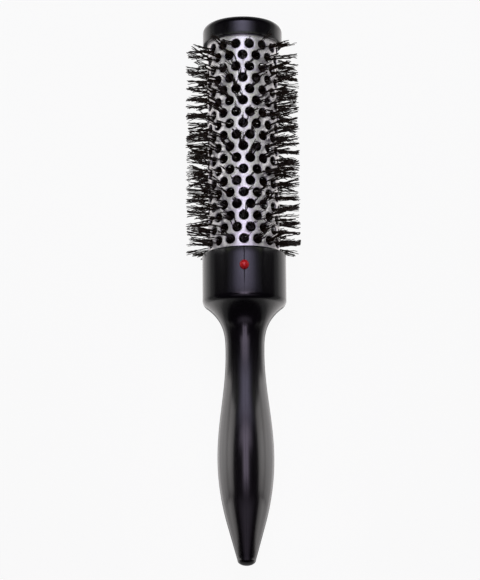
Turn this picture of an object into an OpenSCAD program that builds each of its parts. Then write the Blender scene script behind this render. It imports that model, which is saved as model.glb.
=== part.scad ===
// Round barrel brush for hot styling. A perforated metal barrel covers a twisted
// wire core, whose nylon tufts stand out through the holes. A moulded cap closes
// one end and the collar of a hollow two-part handle grips the other.
// Millimetres. The brush lies on its tufts with its axis along Y, the cap towards
// +Y and the heat indicator uppermost. The origin is under the middle of it.

/* [Barrel] */
// Outside diameter of the metal barrel
barrel_d = 33; // [31:0.5:36]
// Thickness of the barrel's sheet
barrel_wall = 0.8; // [0.6:0.1:1.2]
// Number of rings of holes along the barrel
rings = 18; // [12:2:20]
// Number of holes in each ring
holes_per_ring = 16; // [12:2:16]
// Distance between neighbouring rings
ring_pitch = 5.48; // [5.3:0.01:6]
// Diameter of each hole
hole_d = 4.6; // [4:0.1:4.8]
// From the collar's mouth to the first ring, and from the last ring to the cap
end_gap = 3.9; // [3.5:0.1:6]

/* [Bristles] */
// Radius of the tuft tips about the brush's axis
bristle_r = 26.9; // [23:0.1:30]
// Radius of a tuft where it leaves the core
tuft_root_r = 0.34; // [0.2:0.02:0.36]
// Radius of a tuft at its trimmed tip
tuft_tip_r = 2; // [1:0.1:2.4]

/* [Core] */
// Diameter of each of the two twisted wires
wire_d = 1.8; // [1.4:0.1:1.9]
// Length of one full twist of the pair
wire_twist_pitch = 9; // [7:0.5:14]

/* [End cap] */
// How far the cap's rim stands proud of the barrel
cap_proud = 2; // [1.4:0.05:2.5]
// Height of the cap along the axis
cap_h = 9.3; // [8.5:0.1:14]
// Rounding of the cap's outer edge
cap_round = 3.2; // [1:0.1:4]
// Thickness of the cap's end wall
cap_end_wall = 2.4; // [1.6:0.1:3]

/* [Handle] */
// How far the collar stands proud of the barrel
collar_proud = 2.7; // [2:0.05:3]
// Length of the collar's straight cylinder
collar_len = 21.6; // [21:0.1:23]
// Rounding of the shoulder below the cylinder
shoulder_round = 3.5; // [1.5:0.1:4]
// Rounding of the collar's mouth
mouth_round = 1.1; // [0.4:0.1:1.4]
// From the collar's mouth to the thinnest part of the neck
neck_at = 46.5; // [45:0.5:50]
// Diameter of the neck
neck_d = 17.7; // [16:0.1:20]
// From the collar's mouth to the thickest part of the grip
belly_at = 94.5; // [92:0.5:98]
// Diameter of the grip at its thickest
belly_d = 25.6; // [22:0.1:28]
// From the collar's mouth to the tip of the handle
handle_len = 143; // [141:0.5:145]
// Wall of the hollow handle, across the axis
handle_wall = 3; // [2.4:0.1:3.2]

/* [Heat indicator] */
// Diameter of the heat indicator's dome
dot_d = 4.3; // [3:0.1:6]
// From the collar's mouth to the middle of the heat indicator
dot_at = 9.2; // [6:0.1:14]

/* [Hidden] */

$fn = 64;
gap = 0.1;                                  // clearance between fitted pieces
cut = 1;                                    // overshoot of a cutting shape

barrel_r = barrel_d / 2;
barrel_in_r = barrel_r - barrel_wall;
barrel_skirt = 16;                          // barrel hidden inside the collar
cap_z = 2 * end_gap + (rings - 1) * ring_pitch;
barrel_top = cap_z + cap_h - cap_end_wall - gap;
cap_r = barrel_r + cap_proud;

collar_r = barrel_r + collar_proud;
mouth_r = barrel_r + gap;
neck_r = neck_d / 2;
belly_r = belly_d / 2;

// The flare from shoulder to neck is a power curve, the grip a cosine wave, and
// the tail a parabola that runs into a straight taper with a half-ellipse tip.
flare_power = 3.15;
flare_angle = atan((collar_r - neck_r) * flare_power / (neck_at - collar_len));
flare_at = collar_len + shoulder_round * tan(flare_angle / 2);
tail_curve = 0.00465;
tail_bend = 30;
tip_len = 2.5;

// The base plug's flange sits between the barrel's end and a ledge in the handle.
flange_h = 3;
seat_at = barrel_skirt + flange_h + gap;
cavity_end = 132;
stem_end = 44;
stem_r = neck_r - handle_wall - gap;
plug_grip = 10;                             // length of the base plug in the barrel
core_r = wire_d + 2 * gap;                  // outside of the twisted pair
core_bottom = -38;
core_top = cap_z + cap_h - cap_end_wall - 1;
tip_plug_h = 4;

lug_at = 10;                                // lugs that lock the barrel's skirt
lug_r = 2.2;
peg_stations = [60, 90, 120];               // bulkheads with pegs that register the shells
bulkhead_t = 5;
peg_r = 1.3;
peg_len = 3;
rib_stations = [75, 105];                   // stiffening ribs in the grip
rib_t = 1.6;
rib_hole_r = 4;
dot_stand = 0.5;                            // straight part under the dome

// The row's Y is the brush's axis; this places the middle of its length at Y = 0.
mid_z = (cap_z + cap_h - handle_len) / 2;

function ring_name(i) = str("bristle_ring_", i < 10 ? "0" : "", i);
function ring_z(i) = end_gap + (i - 1) * ring_pitch;
function ring_turn(i) = i % 2 == 1 ? 0 : 180 / holes_per_ring;

// Radius of the handle's outside at a distance d below the collar's mouth.
function flare_r(d) =
    neck_r + (collar_r - neck_r) * pow((neck_at - d) / (neck_at - flare_at), flare_power);
function belly_wave(d) =
    neck_r + (belly_r - neck_r) * (1 - cos(180 * (d - neck_at) / (belly_at - neck_at))) / 2;
function tail_r(w) =
    w < tail_bend ? belly_r - tail_curve * w * w
                  : belly_r - tail_curve * tail_bend * (2 * w - tail_bend);
function grip_r(d) = d < neck_at ? flare_r(d) : d < belly_at ? belly_wave(d) : tail_r(d - belly_at);
function inside_r(d) = min(collar_r, grip_r(max(d, flare_at))) - handle_wall;

// Points [radius, z] along each stretch of the handle's outside, mouth to tip.
mouth_arc = [for (a = [90 : -15 : 0])
    [collar_r - mouth_round * (1 - cos(a)), -mouth_round * (1 - sin(a))]];
shoulder_arc = [for (k = [0 : 6]) let (a = flare_angle * k / 6)
    [collar_r - shoulder_round * (1 - cos(a)), -collar_len - shoulder_round * sin(a)]];
flare_start = collar_len + shoulder_round * sin(flare_angle);
grip_line = [for (k = [1 : 16]) let (d = flare_start + (neck_at - flare_start) * k / 16)
    [grip_r(d), -d]];
belly_line = [for (k = [1 : 14]) let (d = neck_at + (belly_at - neck_at) * k / 14)
    [grip_r(d), -d]];
tail_line = [for (k = [1 : 8]) let (d = belly_at + tail_bend * k / 8) [grip_r(d), -d]];
tip_root = handle_len - tip_len;
tip_arc = [for (a = [0 : 10 : 80])
    [grip_r(tip_root) * cos(a), -tip_root - tip_len * sin(a)]];

// Points along the handle's hollow, tip to mouth.
cavity_line = [for (d = [cavity_end : -6 : seat_at + 3]) [inside_r(d), -d]];

// Lays a piece that is built along +Z, front towards -Y, into the row's frame.
module lay() {
    translate([0, -mid_z, bristle_r]) rotate([-90, 0, 0]) children();
}

// A cylinder that lies across the axis, from one distance to another, at height z.
module spoke(r, from, to, z, turn = 0) {
    rotate([0, 0, turn]) translate([0, -from, z]) rotate([90, 0, 0])
        cylinder(r = r, h = to - from);
}

// The handle's wall, all the way round.
module wall() {
    rotate_extrude() polygon(concat(
        [[mouth_r, 0]], mouth_arc, shoulder_arc, grip_line, belly_line, tail_line, tip_arc,
        [[0, -handle_len], [0, -cavity_end]], cavity_line,
        [[inside_r(seat_at), -seat_at], [mouth_r, -seat_at]]
    ));
}

// A disc across the grip's hollow, with or without a hole in the middle.
module rib(d, thick, hole_r = 0) {
    translate([0, 0, -d - thick / 2]) rotate_extrude()
        translate([hole_r, 0]) square([grip_r(d) - 1 - hole_r, thick]);
}

// What both shells share: wall, ribs and the lug that locks the barrel. It is the
// side where x is negative.
module half_shell() {
    difference() {
        union() {
            wall();
            for (d = rib_stations) rib(d, rib_t, rib_hole_r);
            for (d = peg_stations) rib(d, bulkhead_t);
            spoke(lug_r, barrel_in_r, collar_r - 1, -lug_at, -90);
        }
        translate([0, -2 * collar_r, -2 * handle_len])
            cube([2 * collar_r, 4 * collar_r, 3 * handle_len]);
        spoke(dot_d / 3 + gap, barrel_r - cut, collar_r + cut, -dot_at);
    }
}

module handle_shell_left() {
    color([0.04, 0.04, 0.045]) lay() union() {
        half_shell();
        for (d = peg_stations) spoke(peg_r, -peg_len, cut, -d, -90);
    }
}

module handle_shell_right() {
    color([0.045, 0.045, 0.05]) lay() difference() {
        mirror([1, 0, 0]) half_shell();
        for (d = peg_stations) spoke(peg_r + gap, -cut, peg_len + gap, -d, 90);
    }
}

module heat_indicator() {
    color([0.7, 0.1, 0.1]) lay() union() {
        spoke(dot_d / 3, barrel_r + gap / 2, collar_r + gap, -dot_at);
        difference() {
            union() {
                spoke(dot_d / 2, collar_r - dot_stand, collar_r + dot_stand, -dot_at);
                translate([0, -collar_r - dot_stand, -dot_at]) sphere(d = dot_d);
            }
            translate([0, 0, -dot_at - dot_d]) cylinder(r = collar_r, h = 2 * dot_d, $fn = 128);
        }
    }
}

// Heat-resistant plug that centres the barrel and anchors the core in the neck.
module base_plug() {
    color([0.15, 0.13, 0.12]) lay() difference() {
        rotate_extrude() polygon([
            [0, plug_grip - barrel_skirt], [barrel_in_r - gap, plug_grip - barrel_skirt],
            [barrel_in_r - gap, -barrel_skirt], [barrel_r, -barrel_skirt],
            [barrel_r, gap - seat_at], [stem_r, gap - seat_at],
            [stem_r, -stem_end], [0, -stem_end]
        ]);
        translate([0, 0, core_bottom]) cylinder(r = core_r + gap, h = stem_end);
    }
}

module barrel() {
    color([0.78, 0.78, 0.8]) lay() difference() {
        translate([0, 0, -barrel_skirt]) cylinder(r = barrel_r, h = barrel_top + barrel_skirt);
        translate([0, 0, -barrel_skirt - cut])
            cylinder(r = barrel_in_r, h = barrel_top + barrel_skirt + 2 * cut);
        for (i = [1 : rings], k = [0 : holes_per_ring - 1])
            spoke(hole_d / 2, barrel_in_r - cut, barrel_r + cut, ring_z(i),
                  ring_turn(i) + k * 360 / holes_per_ring);
        for (side = [-90, 90]) spoke(lug_r + gap, barrel_in_r - cut, barrel_r + cut, -lug_at, side);
    }
}

// One strand of the twisted pair, starting on the given side of the axis.
module wire(start) {
    h = core_top - core_bottom;
    turns = h / wire_twist_pitch;
    translate([0, 0, core_bottom]) rotate([0, 0, start])
        linear_extrude(height = h, twist = -360 * turns, slices = ceil(turns * 12), $fn = 10)
            translate([(wire_d + gap) / 2, 0]) circle(d = wire_d);
}

module core_wire_a() {
    color([0.6, 0.6, 0.62]) lay() wire(0);
}

module core_wire_b() {
    color([0.55, 0.55, 0.57]) lay() wire(180);
}

// Disc inside the far end of the barrel that centres the core.
module tip_plug() {
    color([0.15, 0.13, 0.12]) lay() difference() {
        translate([0, 0, barrel_top - tip_plug_h])
            cylinder(r = barrel_in_r - gap, h = tip_plug_h);
        translate([0, 0, barrel_top - tip_plug_h - cut])
            cylinder(r = core_r + gap, h = tip_plug_h + 2 * cut);
    }
}

module end_cap() {
    color([0.05, 0.05, 0.055]) lay() translate([0, 0, cap_z]) rotate_extrude() polygon(concat(
        [[barrel_r + gap, 0], [cap_r - 0.3, 0], [cap_r, 0.3]],
        [for (a = [0 : 15 : 90])
            [cap_r - cap_round * (1 - cos(a)), cap_h - cap_round * (1 - sin(a))]],
        [[0, cap_h], [0, cap_h - cap_end_wall], [barrel_r + gap, cap_h - cap_end_wall]]
    ));
}

// The tufts that stand out through one ring of holes.
module bristle_ring(i) {
    color([0.03, 0.03, 0.03]) lay() for (k = [0 : holes_per_ring - 1])
        rotate([0, 0, ring_turn(i) + k * 360 / holes_per_ring])
            translate([0, -core_r, ring_z(i)]) rotate([90, 0, 0])
                cylinder(r1 = tuft_root_r, r2 = tuft_tip_r, h = bristle_r - core_r);
}

handle_shell_left();
handle_shell_right();
heat_indicator();
base_plug();
barrel();
core_wire_a();
core_wire_b();
tip_plug();
end_cap();
for (i = [1 : rings]) bristle_ring(i);
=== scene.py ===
"""Round barrel brush: the detailed pieces, materials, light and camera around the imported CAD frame."""

import math
import random

import bmesh
import bpy
from mathutils import Matrix, Vector

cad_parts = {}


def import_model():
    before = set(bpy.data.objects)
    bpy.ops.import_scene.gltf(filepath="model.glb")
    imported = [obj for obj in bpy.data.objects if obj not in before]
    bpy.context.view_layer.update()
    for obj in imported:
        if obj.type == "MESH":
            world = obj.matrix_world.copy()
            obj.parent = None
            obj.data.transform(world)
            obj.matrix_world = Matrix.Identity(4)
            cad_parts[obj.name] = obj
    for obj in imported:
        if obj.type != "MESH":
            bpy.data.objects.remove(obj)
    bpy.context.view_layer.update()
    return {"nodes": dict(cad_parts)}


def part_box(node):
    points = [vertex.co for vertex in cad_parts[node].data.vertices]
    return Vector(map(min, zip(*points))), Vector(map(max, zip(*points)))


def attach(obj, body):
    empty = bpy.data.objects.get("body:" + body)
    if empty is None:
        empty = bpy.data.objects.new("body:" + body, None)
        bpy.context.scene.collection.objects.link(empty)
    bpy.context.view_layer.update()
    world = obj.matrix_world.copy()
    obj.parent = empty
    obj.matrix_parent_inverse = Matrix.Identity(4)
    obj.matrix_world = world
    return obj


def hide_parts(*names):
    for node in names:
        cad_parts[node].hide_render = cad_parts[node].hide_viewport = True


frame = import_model()

# ---------------------------------------------------------------- sizes, from the frame (metres)

MM = 0.001
HOLES = 16                                             # in a ring
RINGS = 18
TURN = 2 * math.pi


def box_of(node):
    """The two corners of a CAD node's box."""
    low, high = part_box(node)
    return Vector(low), Vector(high)


def middle(node):
    """The centre of a CAD node's box."""
    low, high = box_of(node)
    return (low + high) / 2


barrel_low, barrel_high = box_of("barrel")
shell_low, shell_high = box_of("handle_shell_left")
cap_low, cap_high = box_of("end_cap")
dot_low, dot_high = box_of("heat_indicator")

AXIS_Z = middle("barrel").z
BARREL_R = barrel_high.z - AXIS_Z
COLLAR_R = -shell_low.x
CAP_R = cap_high.x
BRISTLE_R = AXIS_Z                                     # the brush lies on its lowest tufts
MOUTH_Y = shell_high.y
TIP_Y = shell_low.y
HANDLE_LEN = MOUTH_Y - TIP_Y
RING_Y = [middle(f"bristle_ring_{i:02d}").y for i in range(1, RINGS + 1)]
RING_PITCH = (RING_Y[-1] - RING_Y[0]) / (RINGS - 1)

# sizes that the boxes don't give, as in the CAD source; a place on the handle is its distance
# below the collar's mouth
BARREL_WALL = 0.8 * MM
BARREL_INNER_R = BARREL_R - BARREL_WALL
HOLE_R = 2.3 * MM
COLLAR_LEN = 21.6 * MM
SHOULDER_ROUND = 3.5 * MM                              # where the collar turns into the flare
MOUTH_ROUND = 1.1 * MM
NECK_AT = 46.5 * MM
NECK_R = 8.85 * MM
BELLY_AT = 94.5 * MM
BELLY_R = 12.8 * MM
FLARE_POWER = 3.15                                     # how late the flare opens from neck to collar
TAIL_CURVE = 4.65                                      # taper over the squared way past the belly (1/m)
TAIL_BEND = 30 * MM                                    # how far past the belly the tail turns straight
TIP_LEN = 2.5 * MM
HANDLE_WALL = 3 * MM
SEAT_AT = 19.1 * MM                                    # the bottom of the collar's bore
SEAT_STEP = 1 * MM                                     # how far its bottom reaches in under the barrel
SEAT_SLOPE = 2 * MM                                    # how far below it the hollow's own wall starts
BORE_CHAMFER = 0.3 * MM
CAVITY_END = 132 * MM
CAVITY_POINT = 6 * MM                                  # how far past its end the hollow's points start
CAVITY_MIN_R = 1 * MM
CAP_RIM = 0.45 * MM
CAP_ROUND = 3.2 * MM
CAP_DISH = 0.12 * MM
CAP_END_WALL = 2.4 * MM
DOT_SUNK = 0.35 * MM                                   # of the dome's wall in the collar
DOT_GAP = 0.05 * MM                                    # between its shank and the barrel
FIT = 0.1 * MM                                         # between pieces that fit round each other
CORE_R = 2.0 * MM                                      # of the twisted pair of wires


def place(radius, y, angle):
    """A point at a radius and angle about the brush's axis; angle 0 is straight up, at the red dot."""
    return Vector((radius * math.sin(angle), y, AXIS_Z + radius * math.cos(angle)))


# ---------------------------------------------------------------- mesh helpers


def link(name, mesh):
    """Puts a mesh into the scene as an object."""
    obj = bpy.data.objects.new(name, mesh)
    bpy.context.scene.collection.objects.link(obj)
    return obj


def build(name, points, faces, sharp_angle=35, merge=1e-6):
    """A mesh object, merged where points meet and shaded smooth between sharp edges."""
    mesh = bpy.data.meshes.new(name)
    mesh.from_pydata([tuple(p) for p in points], [], faces)
    shape = bmesh.new()
    shape.from_mesh(mesh)
    if merge:
        bmesh.ops.remove_doubles(shape, verts=shape.verts, dist=merge)
        bmesh.ops.dissolve_degenerate(shape, edges=shape.edges, dist=1e-7)
    bmesh.ops.recalc_face_normals(shape, faces=shape.faces)
    shape.to_mesh(mesh)
    shape.free()
    mesh.polygons.foreach_set("use_smooth", [True] * len(mesh.polygons))
    mesh.set_sharp_from_angle(angle=math.radians(sharp_angle))
    return link(name, mesh)


def grid_faces(rows, columns, wrap_rows=False, wrap_columns=False):
    """Four-sided faces over rows of points; a wrap joins the last row or column to the first."""
    faces = []
    for i in range(rows if wrap_rows else rows - 1):
        for j in range(columns if wrap_columns else columns - 1):
            i2, j2 = (i + 1) % rows, (j + 1) % columns
            faces.append((i * columns + j, i * columns + j2, i2 * columns + j2, i2 * columns + j))
    return faces


def arc(centre, radius, start, end, steps):
    """Points (radius from the axis, place along it) on an arc, angles in degrees."""
    span = [start + (end - start) * k / steps for k in range(steps + 1)]
    return [
        (centre[0] + radius * math.cos(math.radians(a)), centre[1] + radius * math.sin(math.radians(a)))
        for a in span
    ]


def lathe(name, outline, columns=160):
    """A closed outline of (radius, y) turned all the way round the brush's axis."""
    points = [place(r, y, TURN * j / columns) for r, y in outline for j in range(columns)]
    return build(name, points, grid_faces(len(outline), columns, wrap_rows=True, wrap_columns=True))


# ---------------------------------------------------------------- the handle

FLARE_ANGLE = math.atan((COLLAR_R - NECK_R) * FLARE_POWER / (NECK_AT - COLLAR_LEN))
FLARE_AT = COLLAR_LEN + SHOULDER_ROUND * math.tan(FLARE_ANGLE / 2)


def grip_radius(down):
    """Radius of the handle at a distance below the collar's mouth, past the shoulder."""
    if down < NECK_AT:
        share = (NECK_AT - down) / (NECK_AT - FLARE_AT)
        return NECK_R + (COLLAR_R - NECK_R) * share**FLARE_POWER
    if down < BELLY_AT:
        turn = math.pi * (down - NECK_AT) / (BELLY_AT - NECK_AT)
        return NECK_R + (BELLY_R - NECK_R) * (1 - math.cos(turn)) / 2
    past = down - BELLY_AT
    if past < TAIL_BEND:
        return BELLY_R - TAIL_CURVE * past * past
    return BELLY_R - TAIL_CURVE * TAIL_BEND * (2 * past - TAIL_BEND)


def between(start, end, steps):
    """Evenly spaced values after the start, up to and with the end."""
    return [start + (end - start) * (k + 1) / steps for k in range(steps)]


def handle_outline():
    """Points (radius, distance below the mouth) of the handle's section, outside and then hollow."""
    mouth = arc((COLLAR_R - MOUTH_ROUND, MOUTH_ROUND), MOUTH_ROUND, -90, 0, 8)
    shoulder_centre = (COLLAR_R - SHOULDER_ROUND, COLLAR_LEN)
    shoulder = arc(shoulder_centre, SHOULDER_ROUND, 0, math.degrees(FLARE_ANGLE), 12)
    collar = [(COLLAR_R, d) for d in between(MOUTH_ROUND, COLLAR_LEN, 8)[:-1]]
    tip_root = HANDLE_LEN - TIP_LEN
    stations = between(shoulder[-1][1], NECK_AT, 40)
    stations += between(NECK_AT, BELLY_AT, 44)
    stations += between(BELLY_AT, tip_root, 40)
    grip = [(grip_radius(d), d) for d in stations]
    tip = [
        (grip_radius(tip_root) * math.cos(a), tip_root + TIP_LEN * math.sin(a))
        for a in [math.radians(6 * k) for k in range(1, 15)]
    ]
    outside = mouth + collar + shoulder + grip + tip + [(0.0, HANDLE_LEN)]
    hollow = [
        (max(grip_radius(max(d, FLARE_AT)) - HANDLE_WALL, CAVITY_MIN_R), d)
        for d in between(CAVITY_END + CAVITY_POINT, SEAT_AT + SEAT_SLOPE, 20)
    ]
    inside = [(0.0, CAVITY_END)] + hollow
    inside += [(BARREL_R - SEAT_STEP, SEAT_AT), (BARREL_R + FIT, SEAT_AT), (BARREL_R + FIT, BORE_CHAMFER)]
    return outside, inside


SEAM_STEPS = [0.012, 0.045, 0.09, 0.15, 0.24, 0.4]     # distance of the columns from the seam (mm)
SEAM_DEPTHS = [0.17, 0.13, 0.06, 0.015, 0.0, 0.0]      # how far each lies below the surface (mm)
SEAM_ON_GRIP = 0.12                                    # depth on the grip, as a share of that at the mouth
SEAM_FADE_START = 10 * MM
SEAM_FADE = 7 * MM
SEAM_FULL_R = 4 * MM                                   # where the handle is thinner, so is the line
SEAM_WIDEST = 0.2                                      # a column's distance at most, over the radius
SHELL_COLUMNS = 72


def seam_strength(down):
    """The parting line is plain at the collar's mouth and nearly closed along the grip."""
    return max(SEAM_ON_GRIP, min(1.0, 1 - (down - SEAM_FADE_START) / SEAM_FADE * (1 - SEAM_ON_GRIP)))


def handle_half(name, side):
    """One moulded half, closed, with its edge rolled over where the two halves meet."""
    outside, inside = handle_outline()
    outline = outside + inside
    points = []
    for k, (radius, down) in enumerate(outline):
        row = []
        for step, depth in zip(SEAM_STEPS, SEAM_DEPTHS):
            share = min(1.0, radius / SEAM_FULL_R) * seam_strength(down) if k < len(outside) else 0.0
            off = min(step * MM, SEAM_WIDEST * radius)
            row.append((radius - depth * MM * share, math.asin(off / radius) if radius > 1e-7 else 0.0))
        first = row[-1][1]
        sweep = math.pi - 2 * first
        middle_row = [(radius, first + sweep * j / SHELL_COLUMNS) for j in range(1, SHELL_COLUMNS)]
        mirrored = [(r, math.pi - a) for r, a in reversed(row)]
        points += [place(r, MOUTH_Y - down, side * a) for r, a in row + middle_row + mirrored]
    width = 2 * len(SEAM_STEPS) + SHELL_COLUMNS - 1
    rows = len(outline)
    faces = grid_faces(rows, width, wrap_rows=True)
    faces.append(tuple(i * width for i in range(rows)))
    faces.append(tuple(i * width + width - 1 for i in reversed(range(rows))))
    return build(name, points, faces, sharp_angle=50, merge=2e-6)


def end_cap():
    """The cap: rolled lower rim, straight side, rounded shoulder and a barely dished end."""
    y0, y1 = cap_low.y, cap_high.y
    rim = arc((CAP_R - CAP_RIM, y0 + CAP_RIM), CAP_RIM, -90, 0, 6)
    side = [(CAP_R, y) for y in between(y0 + CAP_RIM, y1 - CAP_ROUND, 4)[:-1]]
    shoulder = arc((CAP_R - CAP_ROUND, y1 - CAP_ROUND), CAP_ROUND, 0, 90, 16)
    flat_r = CAP_R - CAP_ROUND
    dish = [(flat_r * k / 5, y1 - CAP_DISH * (1 - (k / 5) ** 2)) for k in (5, 4, 3, 2, 1, 0)]
    bore = [(0.0, y1 - CAP_END_WALL), (BARREL_R + FIT, y1 - CAP_END_WALL), (BARREL_R + FIT, y0)]
    return lathe("end_cap_skin", rim + side + shoulder + dish + bore, columns=200)


def heat_dot():
    """The red dome: a ball on a short straight wall, with a shank down to the barrel."""
    centre = middle("heat_indicator")
    radius = (dot_high.x - dot_low.x) / 2
    base = dot_high.z - radius
    foot = AXIS_Z + COLLAR_R - DOT_SUNK
    shank_r = radius * 2 / 3
    shank_end = AXIS_Z + BARREL_R + DOT_GAP
    outline = [(0.0, shank_end), (shank_r, shank_end), (shank_r, foot), (radius, foot), (radius, base)]
    outline += [
        (radius * math.cos(a), base + radius * math.sin(a))
        for a in [math.radians(5 * k) for k in range(1, 18)]
    ]
    outline.append((0.0, dot_high.z))
    columns = 48
    points = [
        Vector((r * math.sin(TURN * j / columns), centre.y + r * math.cos(TURN * j / columns), z))
        for r, z in outline
        for j in range(columns)
    ]
    return build("heat_dot", points, grid_faces(len(outline), columns, True, True), sharp_angle=50)


# ---------------------------------------------------------------- the barrel

CELL_ACROSS = 8                                        # steps along the top and bottom of a hole's cell
CELL_UP = 6                                            # steps along its sides
BEVEL = [(0.22, 0.0), (0.08, 0.03), (0.02, 0.09), (0.0, 0.2)]   # a hole's edge: widening and depth (mm)
INNER_BEVEL = 0.06 * MM


def hole_angle(ring, hole):
    """Where a hole lies round the axis; the holes of every other ring are half a step on."""
    return TURN * (hole + 0.5 * (ring % 2)) / HOLES


def cell_border():
    """The border of a unit cell, from its lower left corner and round."""
    across = [-1 + 2 * k / CELL_ACROSS for k in range(CELL_ACROSS)]
    up = [-1 + 2 * k / CELL_UP for k in range(CELL_UP)]
    border = [(u, -1.0) for u in across] + [(1.0, v) for v in up]
    return border + [(-u, 1.0) for u in across] + [(-1.0, -v) for v in up]


def barrel_cell(points, faces, y, angle):
    """The sheet round one hole: outer face, rolled edge, the hole's wall and inner face."""
    border = cell_border()
    half_angle = TURN / HOLES / 2
    half_up = RING_PITCH / 2
    rings = [[place(BARREL_R, y + v * half_up, angle + u * half_angle) for u, v in border]]
    circles = [(HOLE_R + grow * MM, BARREL_R - depth * MM) for grow, depth in BEVEL]
    circles += [(HOLE_R, BARREL_INNER_R + INNER_BEVEL), (HOLE_R + INNER_BEVEL, BARREL_INNER_R)]
    for hole, radius in circles:
        ring = []
        for u, v in border:
            turn = math.atan2(v * half_up, u * half_angle * BARREL_R)
            across = hole * math.cos(turn)
            ring.append(place(radius, y + hole * math.sin(turn), angle + math.asin(across / radius)))
        rings.append(ring)
    rings.append([place(BARREL_INNER_R, y + v * half_up, angle + u * half_angle) for u, v in border])
    start = len(points)
    for ring in rings:
        points += ring
    faces += [
        tuple(start + n for n in face)
        for face in grid_faces(len(rings), len(border), wrap_columns=True)
    ]


def barrel():
    """The perforated tube: a cell of sheet round each hole, and a plain band at each end."""
    points, faces = [], []
    for i, y in enumerate(RING_Y):
        for j in range(HOLES):
            barrel_cell(points, faces, y, hole_angle(i, j))
    columns = HOLES * CELL_ACROSS
    bands = [(RING_Y[0] - RING_PITCH / 2, barrel_low.y), (RING_Y[-1] + RING_PITCH / 2, barrel_high.y)]
    for near, far in bands:
        steps = [near] + between(near, far, 4)
        outline = [(BARREL_R, y) for y in steps] + [(BARREL_INNER_R, y) for y in reversed(steps)]
        start = len(points)
        points += [place(r, y, TURN * j / columns) for r, y in outline for j in range(columns)]
        faces += [
            tuple(start + n for n in face)
            for face in grid_faces(len(outline), columns, wrap_columns=True)
        ]
    return build("barrel_skin", points, faces, sharp_angle=60, merge=2e-6)


# ---------------------------------------------------------------- the bristles

FILAMENT_R = 0.165 * MM
FILAMENT_R_RANGE = (0.85, 1.1)                         # least and most, as shares of it
FILAMENT_SIDES = 4
ASIDE = Vector((0.31, 0.83, 0.46))                     # a direction that no filament runs along
GATE_R = BARREL_R - BARREL_WALL / 2                    # where the filaments pass through the barrel
GATE_MARGIN = 0.5 * MM                                 # what a strand keeps clear of the hole's edge
INNER_STEPS = 3                                        # along a filament, up to the barrel
OUTER_STEPS = 10                                       # and beyond it
FIRST_SEED = 100

# how many strands a tuft has and filaments a strand has: a number listed twice is twice as likely
STRANDS = (1, 2, 3, 3, 4)
STRANDS_BY_CAP = (1, 1, 2)
FILAMENTS = (3, 4, 5, 5, 6)

# scatter: spreads are standard deviations, and slopes are sideways over outwards
TUFT_LEAN = (0.1, 0.12)                                # round the brush and along it
STRAND_LEAN = 0.06
FILAMENT_LEAN = 0.035
SPLAY = 0.5                                            # of a tuft, where 1 is straight out from the core
ROOT_ACROSS = 0.9                                      # widest place on the core (mm)
ROOT_ALONG = 2                                         # spread along the core (mm)
GATE_SCATTER = 0.22                                    # in a strand, where it passes through its hole (mm)
CURL = 4                                               # sideways over the square of outwards (1/m)
CRIMP = (0.08, 0.2)                                    # height of the waves (mm)
CRIMP_WAVE = (2.4, 3.4)                                # length of the waves (mm)
TRIM_GAP = 0.1 * MM                                    # inside the outline of the CAD tufts
TRIM_OFF = 0.25 * MM                                   # how far off the axis the tufts are trimmed
TRIM_SCATTER = 0.7                                     # (mm)
SHORT_SHARE = 0.25                                     # of the filaments
SHORT_BY = (0.8, 4.5)                                  # how much shorter those are (mm)


def tube(points, faces, path, radius):
    """A thin closed tube along a path."""
    start = len(points)
    for k, p in enumerate(path):
        ahead = path[min(k + 1, len(path) - 1)] - path[max(k - 1, 0)]
        a = ahead.cross(ASIDE).normalized()
        b = ahead.cross(a).normalized()
        for n in range(FILAMENT_SIDES):
            turn = TURN * n / FILAMENT_SIDES
            points.append(p + (a * math.cos(turn) + b * math.sin(turn)) * radius)
    rows = len(path)
    for i in range(rows - 1):
        for j in range(FILAMENT_SIDES):
            j2 = (j + 1) % FILAMENT_SIDES
            low, high = start + i * FILAMENT_SIDES, start + (i + 1) * FILAMENT_SIDES
            faces.append((low + j, low + j2, high + j2, high + j))
    faces.append(tuple(start + j for j in reversed(range(FILAMENT_SIDES))))
    faces.append(tuple(start + (rows - 1) * FILAMENT_SIDES + j for j in range(FILAMENT_SIDES)))


def strand_course(rng, lean):
    """Where one strand of a tuft passes through its hole, and its slopes beyond it."""
    reach = (HOLE_R - GATE_MARGIN) * math.sqrt(rng.random())
    where = rng.uniform(0, TURN)
    gate = (reach * math.cos(where), reach * math.sin(where))
    run = GATE_R - CORE_R
    slope = tuple(lean[n] + SPLAY * gate[n] / run + rng.gauss(0, STRAND_LEAN) for n in (0, 1))
    return gate, slope


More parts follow.
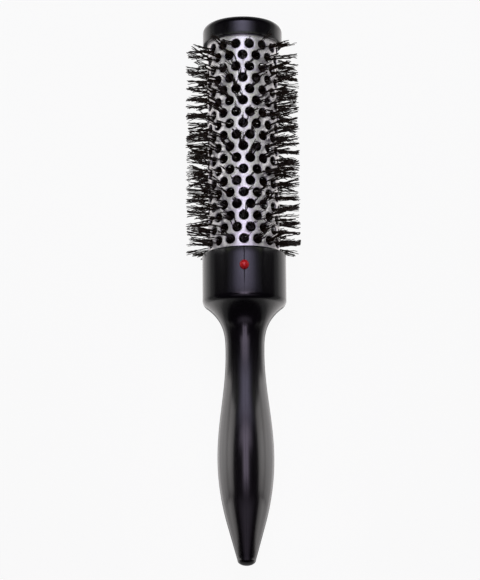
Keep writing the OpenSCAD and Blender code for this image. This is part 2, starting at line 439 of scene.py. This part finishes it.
def filament_path(rng, y, angle, gate, slope):
    """From the core, through the hole, and out to the trimmed envelope, with the nylon's crimp."""
    out = place(1, 0, angle) - Vector((0, 0, AXIS_Z))
    across = Vector((math.cos(angle), 0, -math.sin(angle)))
    along = Vector((0, 1, 0))
    root = (rng.uniform(-ROOT_ACROSS, ROOT_ACROSS) * MM, rng.gauss(0, ROOT_ALONG) * MM)
    start = tuple(g + rng.gauss(0, GATE_SCATTER) * MM for g in gate)
    rate = tuple(r + rng.gauss(0, FILAMENT_LEAN) for r in slope)
    curl = (rng.gauss(0, CURL), rng.gauss(0, CURL))
    envelope = BRISTLE_R - TRIM_GAP - TRIM_OFF * (1 + math.sin(angle))
    tip = envelope - abs(rng.gauss(0, TRIM_SCATTER)) * MM
    if rng.random() < SHORT_SHARE:
        tip -= rng.uniform(*SHORT_BY) * MM
    crimp = rng.uniform(*CRIMP) * MM
    wave = rng.uniform(*CRIMP_WAVE) * MM
    phase = rng.uniform(0, TURN)
    plane = rng.uniform(0, TURN)
    base = Vector((0, y, AXIS_Z))
    path = []
    for k in range(INNER_STEPS):
        share = k / INNER_STEPS
        x = root[0] + (start[0] - root[0]) * share
        v = root[1] + (start[1] - root[1]) * share
        path.append(base + out * (CORE_R + (GATE_R - CORE_R) * share) + across * x + along * v)
    for k in range(OUTER_STEPS + 1):
        past = (tip - GATE_R) * k / OUTER_STEPS
        ripple = crimp * math.sin(TURN * past / wave + phase) * min(1, past / MM)
        x = start[0] + rate[0] * past + curl[0] * past * past + ripple * math.cos(plane)
        v = start[1] + rate[1] * past + curl[1] * past * past + ripple * math.sin(plane)
        height = math.sqrt(max((GATE_R + past) ** 2 - x * x, 0))
        path.append(base + out * height + across * x + along * v)
    return path


def tufts(index):
    """The tufts of one ring of holes, each in a few strands; the ring next to the cap is thinner."""
    rng = random.Random(FIRST_SEED + index)
    strands = STRANDS if index < RINGS - 1 else STRANDS_BY_CAP
    points, faces = [], []
    for j in range(HOLES):
        angle = hole_angle(index, j)
        lean = tuple(rng.gauss(0, width) for width in TUFT_LEAN)
        for _ in range(rng.choice(strands)):
            gate, slope = strand_course(rng, lean)
            for _ in range(rng.choice(FILAMENTS)):
                path = filament_path(rng, RING_Y[index], angle, gate, slope)
                tube(points, faces, path, FILAMENT_R * rng.uniform(*FILAMENT_R_RANGE))
    return build(f"tufts_{index + 1:02d}", points, faces, sharp_angle=100, merge=0)


# ---------------------------------------------------------------- materials


def material(name):
    """A new material with its node tree, shader and object coordinates."""
    mat = bpy.data.materials.new(name)
    mat.use_nodes = True
    nodes, links = mat.node_tree.nodes, mat.node_tree.links
    return mat, nodes, links, nodes["Principled BSDF"], nodes.new("ShaderNodeTexCoord").outputs["Object"]


def noise(nodes, links, where, scale, detail, rough=0.55):
    """A 0 to 1 noise; its scale is in waves per metre."""
    node = nodes.new("ShaderNodeTexNoise")
    node.inputs["Scale"].default_value = scale
    node.inputs["Detail"].default_value = detail
    node.inputs["Roughness"].default_value = rough
    links.new(where, node.inputs["Vector"])
    return node.outputs["Fac"]


def ramp(nodes, links, value, low, high, at=(0.3, 0.7)):
    """Maps a 0 to 1 value to a colour between low and high."""
    node = nodes.new("ShaderNodeValToRGB")
    node.color_ramp.elements[0].position = at[0]
    node.color_ramp.elements[1].position = at[1]
    node.color_ramp.elements[0].color = (*low, 1)
    node.color_ramp.elements[1].color = (*high, 1)
    links.new(value, node.inputs["Fac"])
    return node.outputs["Color"]


def spread(nodes, links, value, low, high):
    """Maps a 0 to 1 value to a number between low and high."""
    node = nodes.new("ShaderNodeMapRange")
    node.inputs["To Min"].default_value = low
    node.inputs["To Max"].default_value = high
    links.new(value, node.inputs["Value"])
    return node.outputs["Result"]


def bump(nodes, links, value, shader, distance, strength):
    """Raises a shader's surface by a 0 to 1 value over a distance in metres."""
    node = nodes.new("ShaderNodeBump")
    node.inputs["Distance"].default_value = distance
    node.inputs["Strength"].default_value = strength
    links.new(value, node.inputs["Height"])
    links.new(node.outputs["Normal"], shader.inputs["Normal"])


def moulded_black(name):
    """Satin black moulding with a fine spark-eroded grain."""
    mat, nodes, links, shader, where = material(name)
    fine = noise(nodes, links, where, scale=2600, detail=3)
    broad = noise(nodes, links, where, scale=90, detail=3)
    tone = ramp(nodes, links, broad, (0.0032, 0.0027, 0.0034), (0.0055, 0.0046, 0.0058))
    links.new(tone, shader.inputs["Base Color"])
    links.new(spread(nodes, links, fine, 0.16, 0.24), shader.inputs["Roughness"])
    shader.inputs["IOR"].default_value = 1.5
    bump(nodes, links, fine, shader, distance=0.01 * MM, strength=0.6)
    return mat


def barrel_metal():
    """Silver metal with a fine sparkling grain and slightly uneven gloss."""
    mat, nodes, links, shader, where = material("barrel_metal")
    grain = noise(nodes, links, where, scale=1900, detail=5, rough=0.7)
    broad = noise(nodes, links, where, scale=160, detail=3)
    tone = ramp(nodes, links, grain, (0.69, 0.672, 0.672), (0.95, 0.925, 0.925), at=(0.35, 0.65))
    links.new(tone, shader.inputs["Base Color"])
    links.new(spread(nodes, links, broad, 0.34, 0.42), shader.inputs["Roughness"])
    shader.inputs["Metallic"].default_value = 0.85
    bump(nodes, links, grain, shader, distance=0.03 * MM, strength=0.35)
    return mat


def black_nylon():
    """Black nylon, faintly brown in places."""
    mat, nodes, links, shader, where = material("black_nylon")
    patch = noise(nodes, links, where, scale=700, detail=3)
    tone = ramp(nodes, links, patch, (0.005, 0.0028, 0.0014), (0.024, 0.0125, 0.005))
    links.new(tone, shader.inputs["Base Color"])
    links.new(spread(nodes, links, patch, 0.35, 0.5), shader.inputs["Roughness"])
    shader.inputs["Specular IOR Level"].default_value = 0.2
    return mat


def indicator_red():
    """Glossy red moulding with a slightly uneven pigment."""
    mat, nodes, links, shader, where = material("indicator_red")
    patch = noise(nodes, links, where, scale=900, detail=3)
    tone = ramp(nodes, links, patch, (0.62, 0.012, 0.016), (0.76, 0.02, 0.022))
    links.new(tone, shader.inputs["Base Color"])
    links.new(spread(nodes, links, patch, 0.16, 0.24), shader.inputs["Roughness"])
    bump(nodes, links, patch, shader, distance=0.02 * MM, strength=0.3)
    return mat


def drawn_wire():
    """Steel wire, finely mottled."""
    mat, nodes, links, shader, where = material("drawn_wire")
    patch = noise(nodes, links, where, scale=2400, detail=4)
    links.new(ramp(nodes, links, patch, (0.3, 0.3, 0.31), (0.5, 0.5, 0.52)), shader.inputs["Base Color"])
    links.new(spread(nodes, links, patch, 0.3, 0.5), shader.inputs["Roughness"])
    shader.inputs["Metallic"].default_value = 1.0
    return mat


def plug_plastic():
    """Dark heat-resistant moulding, matt and slightly mottled."""
    mat, nodes, links, shader, where = material("plug_plastic")
    patch = noise(nodes, links, where, scale=500, detail=4)
    tone = ramp(nodes, links, patch, (0.02, 0.018, 0.017), (0.045, 0.042, 0.04))
    links.new(tone, shader.inputs["Base Color"])
    links.new(spread(nodes, links, patch, 0.5, 0.65), shader.inputs["Roughness"])
    bump(nodes, links, patch, shader, distance=0.03 * MM, strength=0.4)
    return mat


def pale_floor():
    """A plain sheet that glows like a light table, pale to the camera and dimmer to the brush."""
    mat, nodes, links, shader, where = material("pale_floor")
    patch = noise(nodes, links, where, scale=3, detail=2)
    tone = ramp(nodes, links, patch, (0.05, 0.05, 0.05), (0.06, 0.06, 0.06))
    links.new(tone, shader.inputs["Base Color"])
    shader.inputs["Roughness"].default_value = 1.0
    shader.inputs["Specular IOR Level"].default_value = 0.0
    shader.inputs["Emission Color"].default_value = (1, 1, 1, 1)
    seen = nodes.new("ShaderNodeLightPath").outputs["Is Camera Ray"]
    links.new(spread(nodes, links, seen, FLOOR_GLOW, PALE), shader.inputs["Emission Strength"])
    return mat


# ---------------------------------------------------------------- camera, light and floor

CAMERA_DISTANCE = 1.155
CAMERA_TILT = math.radians(13.47)                      # off straight down, towards the handle
CAMERA_ROLL = math.radians(-0.46)
CAMERA_LENS = 155.87                                   # lens and sensor in mm
CAMERA_SENSOR = 36
AIM_BELOW_MOUTH = 15.3 * MM                            # the point that the camera looks at
AIM_X = -2.04 * MM
AIM_Z = -4.59 * MM                                     # from the brush's axis
OVERHEAD_Z = 0.27
LAYER = 5 * MM                                         # height between nested panels overhead
CARD_X = 55 * MM
CARD_SPREAD = 74                                       # of the light through a card's grid (degrees)
WING_X = 0.33
WING_Z = 0.13
WING_HEIGHT = 0.2
WING_AIM = 0.05                                        # past the mouth, on the axis
STRIP_LAYERS = 3
STRIP_TOP = 5                                          # the strips lie 1, 2 and 3 mm below this (mm)
WHITE = (1, 1, 1)
PLUM = (0.88, 0.75, 1.0)
VIOLET = (0.75, 0.7, 1.0)
WARM = (1.0, 0.965, 0.96)
CREAM = (0.9, 1.0, 0.7)
PALE = 0.93                                            # brightness of floor and background to the camera
FLOOR_GLOW = 0.3                                       # brightness of the floor to the brush
FLOOR_SIZE = 8.0


def camera():
    """Nearly straight down on the lying brush, from the handle's side, with a long lens."""
    data = bpy.data.cameras.new("camera")
    data.lens = CAMERA_LENS
    data.sensor_width = CAMERA_SENSOR
    obj = bpy.data.objects.new("camera", data)
    bpy.context.scene.collection.objects.link(obj)
    aim = Vector((AIM_X, MOUTH_Y - AIM_BELOW_MOUTH, AXIS_Z + AIM_Z))
    back = Vector((0, -math.sin(CAMERA_TILT), math.cos(CAMERA_TILT)))
    right = Vector((1, 0, 0))
    up = back.cross(right)
    axes = Matrix((right, up, back)).transposed()
    roll = Matrix.Rotation(CAMERA_ROLL, 3, back)
    obj.matrix_world = Matrix.Translation(aim + back * CAMERA_DISTANCE) @ (roll @ axes).to_4x4()
    bpy.context.scene.camera = obj


def panel(name, centre, facing, size, glow, tint, spread_angle=180):
    """A soft light panel, unseen by the camera; its glow is its brightness where white paper is 1.

    A spread angle below 180 is a honeycomb grid in front of the panel, which keeps the glow on its axis.
    """
    half_spread = math.radians(spread_angle) / 2
    grid = 1 - half_spread / math.tan(half_spread) if spread_angle < 180 else 1
    data = bpy.data.lights.new(name, "AREA")
    data.shape = "RECTANGLE"
    data.size, data.size_y = size
    data.energy = glow * math.pi * size[0] * size[1] * grid
    data.color = tint
    data.spread = math.radians(spread_angle)
    obj = bpy.data.objects.new(name, data)
    bpy.context.scene.collection.objects.link(obj)
    obj.location = centre
    obj.rotation_euler = Vector(facing).to_track_quat("-Z", "Y").to_euler()
    obj.visible_camera = False


def overhead(name, reach, near, far, glow, tint, layers=4):
    """Nested panels that face down and fade out sideways, from one distance past the mouth to another."""
    for k in range(1, layers + 1):
        centre = (0, MOUTH_Y + (near + far) / 2, OVERHEAD_Z + k * LAYER)
        size = (2 * reach * k / layers, far - near)
        panel(f"{name}_{k}", centre, (0, 0, -1), size, glow / layers, tint)


def flank_card(name, near, far, low, high, glow, turn, tip):
    """A gridded panel on each side of the grip; turn and tip say how far it faces along and up."""
    for side in (-1, 1):
        centre = (side * CARD_X, MOUTH_Y + (near + far) / 2, (low + high) / 2)
        facing = (-side, turn, tip)
        panel(f"{name}_{side}", centre, facing, (far - near, high - low), glow, WARM, CARD_SPREAD)


def wing(side, near, far, glow):
    """A tall narrow panel on one side, far out from the brush, that faces the middle of the barrel."""
    centre = Vector((side * WING_X, MOUTH_Y + (near + far) / 2, WING_Z))
    facing = Vector((0, MOUTH_Y + WING_AIM, AXIS_Z)) - centre
    panel(f"wing_{side}", centre, facing, (far - near, WING_HEIGHT), glow, WHITE)


def floor_strip(name, start, reach, near, far, glow):
    """Nested panels that lie on the floor on each side of the brush, face up and fade out sideways."""
    for side in (-1, 1):
        for k in range(1, STRIP_LAYERS + 1):
            x = side * (start + reach * k / (2 * STRIP_LAYERS))
            centre = (x, MOUTH_Y + (near + far) / 2, (STRIP_TOP - k) * MM)
            size = (reach * k / STRIP_LAYERS, far - near)
            panel(f"{name}_{side}_{k}", centre, (0, 0, 1), size, glow / STRIP_LAYERS, WARM)


def lights():
    """Panels above the brush, wings beside the barrel, cards beside the grip and strips on the floor.

    Near and far are distances past the collar's mouth, negative on the handle's side, in metres.
    """
    overhead("key_tip", reach=0.22, near=-0.27, far=-0.175, glow=0.6, tint=PLUM)
    overhead("key_tail", reach=0.08, near=-0.155, far=-0.12, glow=1.1, tint=PLUM)
    overhead("key_grip", reach=0.06, near=-0.12, far=-0.024, glow=4.0, tint=PLUM)
    overhead("key_neck", reach=0.14, near=-0.03, far=0.02, glow=3.2, tint=PLUM)
    overhead("key_collar", reach=0.15, near=0.041, far=0.068, glow=4.8, tint=VIOLET)
    overhead("key_collar_wide", reach=0.27, near=0.045, far=0.076, glow=1.4, tint=VIOLET)
    overhead("key_barrel", reach=0.28, near=0.11, far=0.155, glow=1.6, tint=CREAM, layers=1)
    overhead("key_cap", reach=0.12, near=0.172, far=0.25, glow=3.9, tint=VIOLET)
    overhead("key_cap_wide", reach=0.2, near=0.178, far=0.26, glow=1.5, tint=VIOLET)
    wing(-1, near=0.128, far=0.158, glow=5.8)
    wing(1, near=0.128, far=0.158, glow=4.1)
    flank_card("card_high", near=-0.12, far=-0.049, low=0.045, high=0.074, glow=3.6, turn=-0.24, tip=-0.3)
    flank_card("card_low", near=-0.12, far=-0.044, low=0.001, high=0.045, glow=2.9, turn=-0.24, tip=0.08)
    flank_card("card_tail", near=-0.149, far=-0.12, low=0.001, high=0.06, glow=2.8, turn=0.12, tip=-0.05)
    floor_strip("strip_handle", start=0.023, reach=0.07, near=-0.165, far=-0.02, glow=1.3)
    floor_strip("strip_barrel", start=0.022, reach=0.12, near=-0.02, far=0.15, glow=0.9)


def world():
    """Surroundings that are pale to the camera and black to everything else."""
    scene_world = bpy.data.worlds.new("world")
    scene_world.use_nodes = True
    bpy.context.scene.world = scene_world
    nodes, links = scene_world.node_tree.nodes, scene_world.node_tree.links
    seen = nodes.new("ShaderNodeLightPath").outputs["Is Camera Ray"]
    glow = nodes["Background"]
    glow.inputs["Color"].default_value = (1, 1, 1, 1)
    links.new(spread(nodes, links, seen, 0.0, PALE), glow.inputs["Strength"])


def floor():
    """A large square sheet under the brush."""
    half = FLOOR_SIZE / 2
    corners = [(-half, -half, 0), (half, -half, 0), (half, half, 0), (-half, half, 0)]
    mesh = bpy.data.meshes.new("floor")
    mesh.from_pydata(corners, [], [(0, 1, 2, 3)])
    obj = link("floor", mesh)
    obj.data.materials.append(pale_floor())


# ---------------------------------------------------------------- putting it together


def dress(piece, mat, slot, *nodes):
    """Gives a piece its material and its body, and hides the CAD nodes that it stands for; the slot is not
    used.
    """
    piece.data.materials.append(mat)
    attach(piece, "root")
    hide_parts(*nodes)


def repaint(node, mat):
    """Gives a CAD node that stays in view its material."""
    obj = frame["nodes"][node]
    obj.data.materials.clear()
    obj.data.materials.append(mat)


camera()
world()
floor()
lights()

handle_black = moulded_black("handle_black")
dress(handle_half("handle_left_skin", -1), handle_black, "handle_black", "handle_shell_left")
dress(handle_half("handle_right_skin", 1), handle_black, "handle_black", "handle_shell_right")
dress(end_cap(), moulded_black("cap_black"), "cap_black", "end_cap")
dress(heat_dot(), indicator_red(), "indicator_red", "heat_indicator")
dress(barrel(), barrel_metal(), "barrel_metal", "barrel")
nylon = black_nylon()
for ring in range(RINGS):
    dress(tufts(ring), nylon, "bristle_nylon", f"bristle_ring_{ring + 1:02d}")
wire = drawn_wire()
plug = plug_plastic()
for node, mat in (("core_wire_a", wire), ("core_wire_b", wire), ("base_plug", plug), ("tip_plug", plug)):
    repaint(node, mat)

bpy.context.scene.view_settings.view_transform = "Standard"
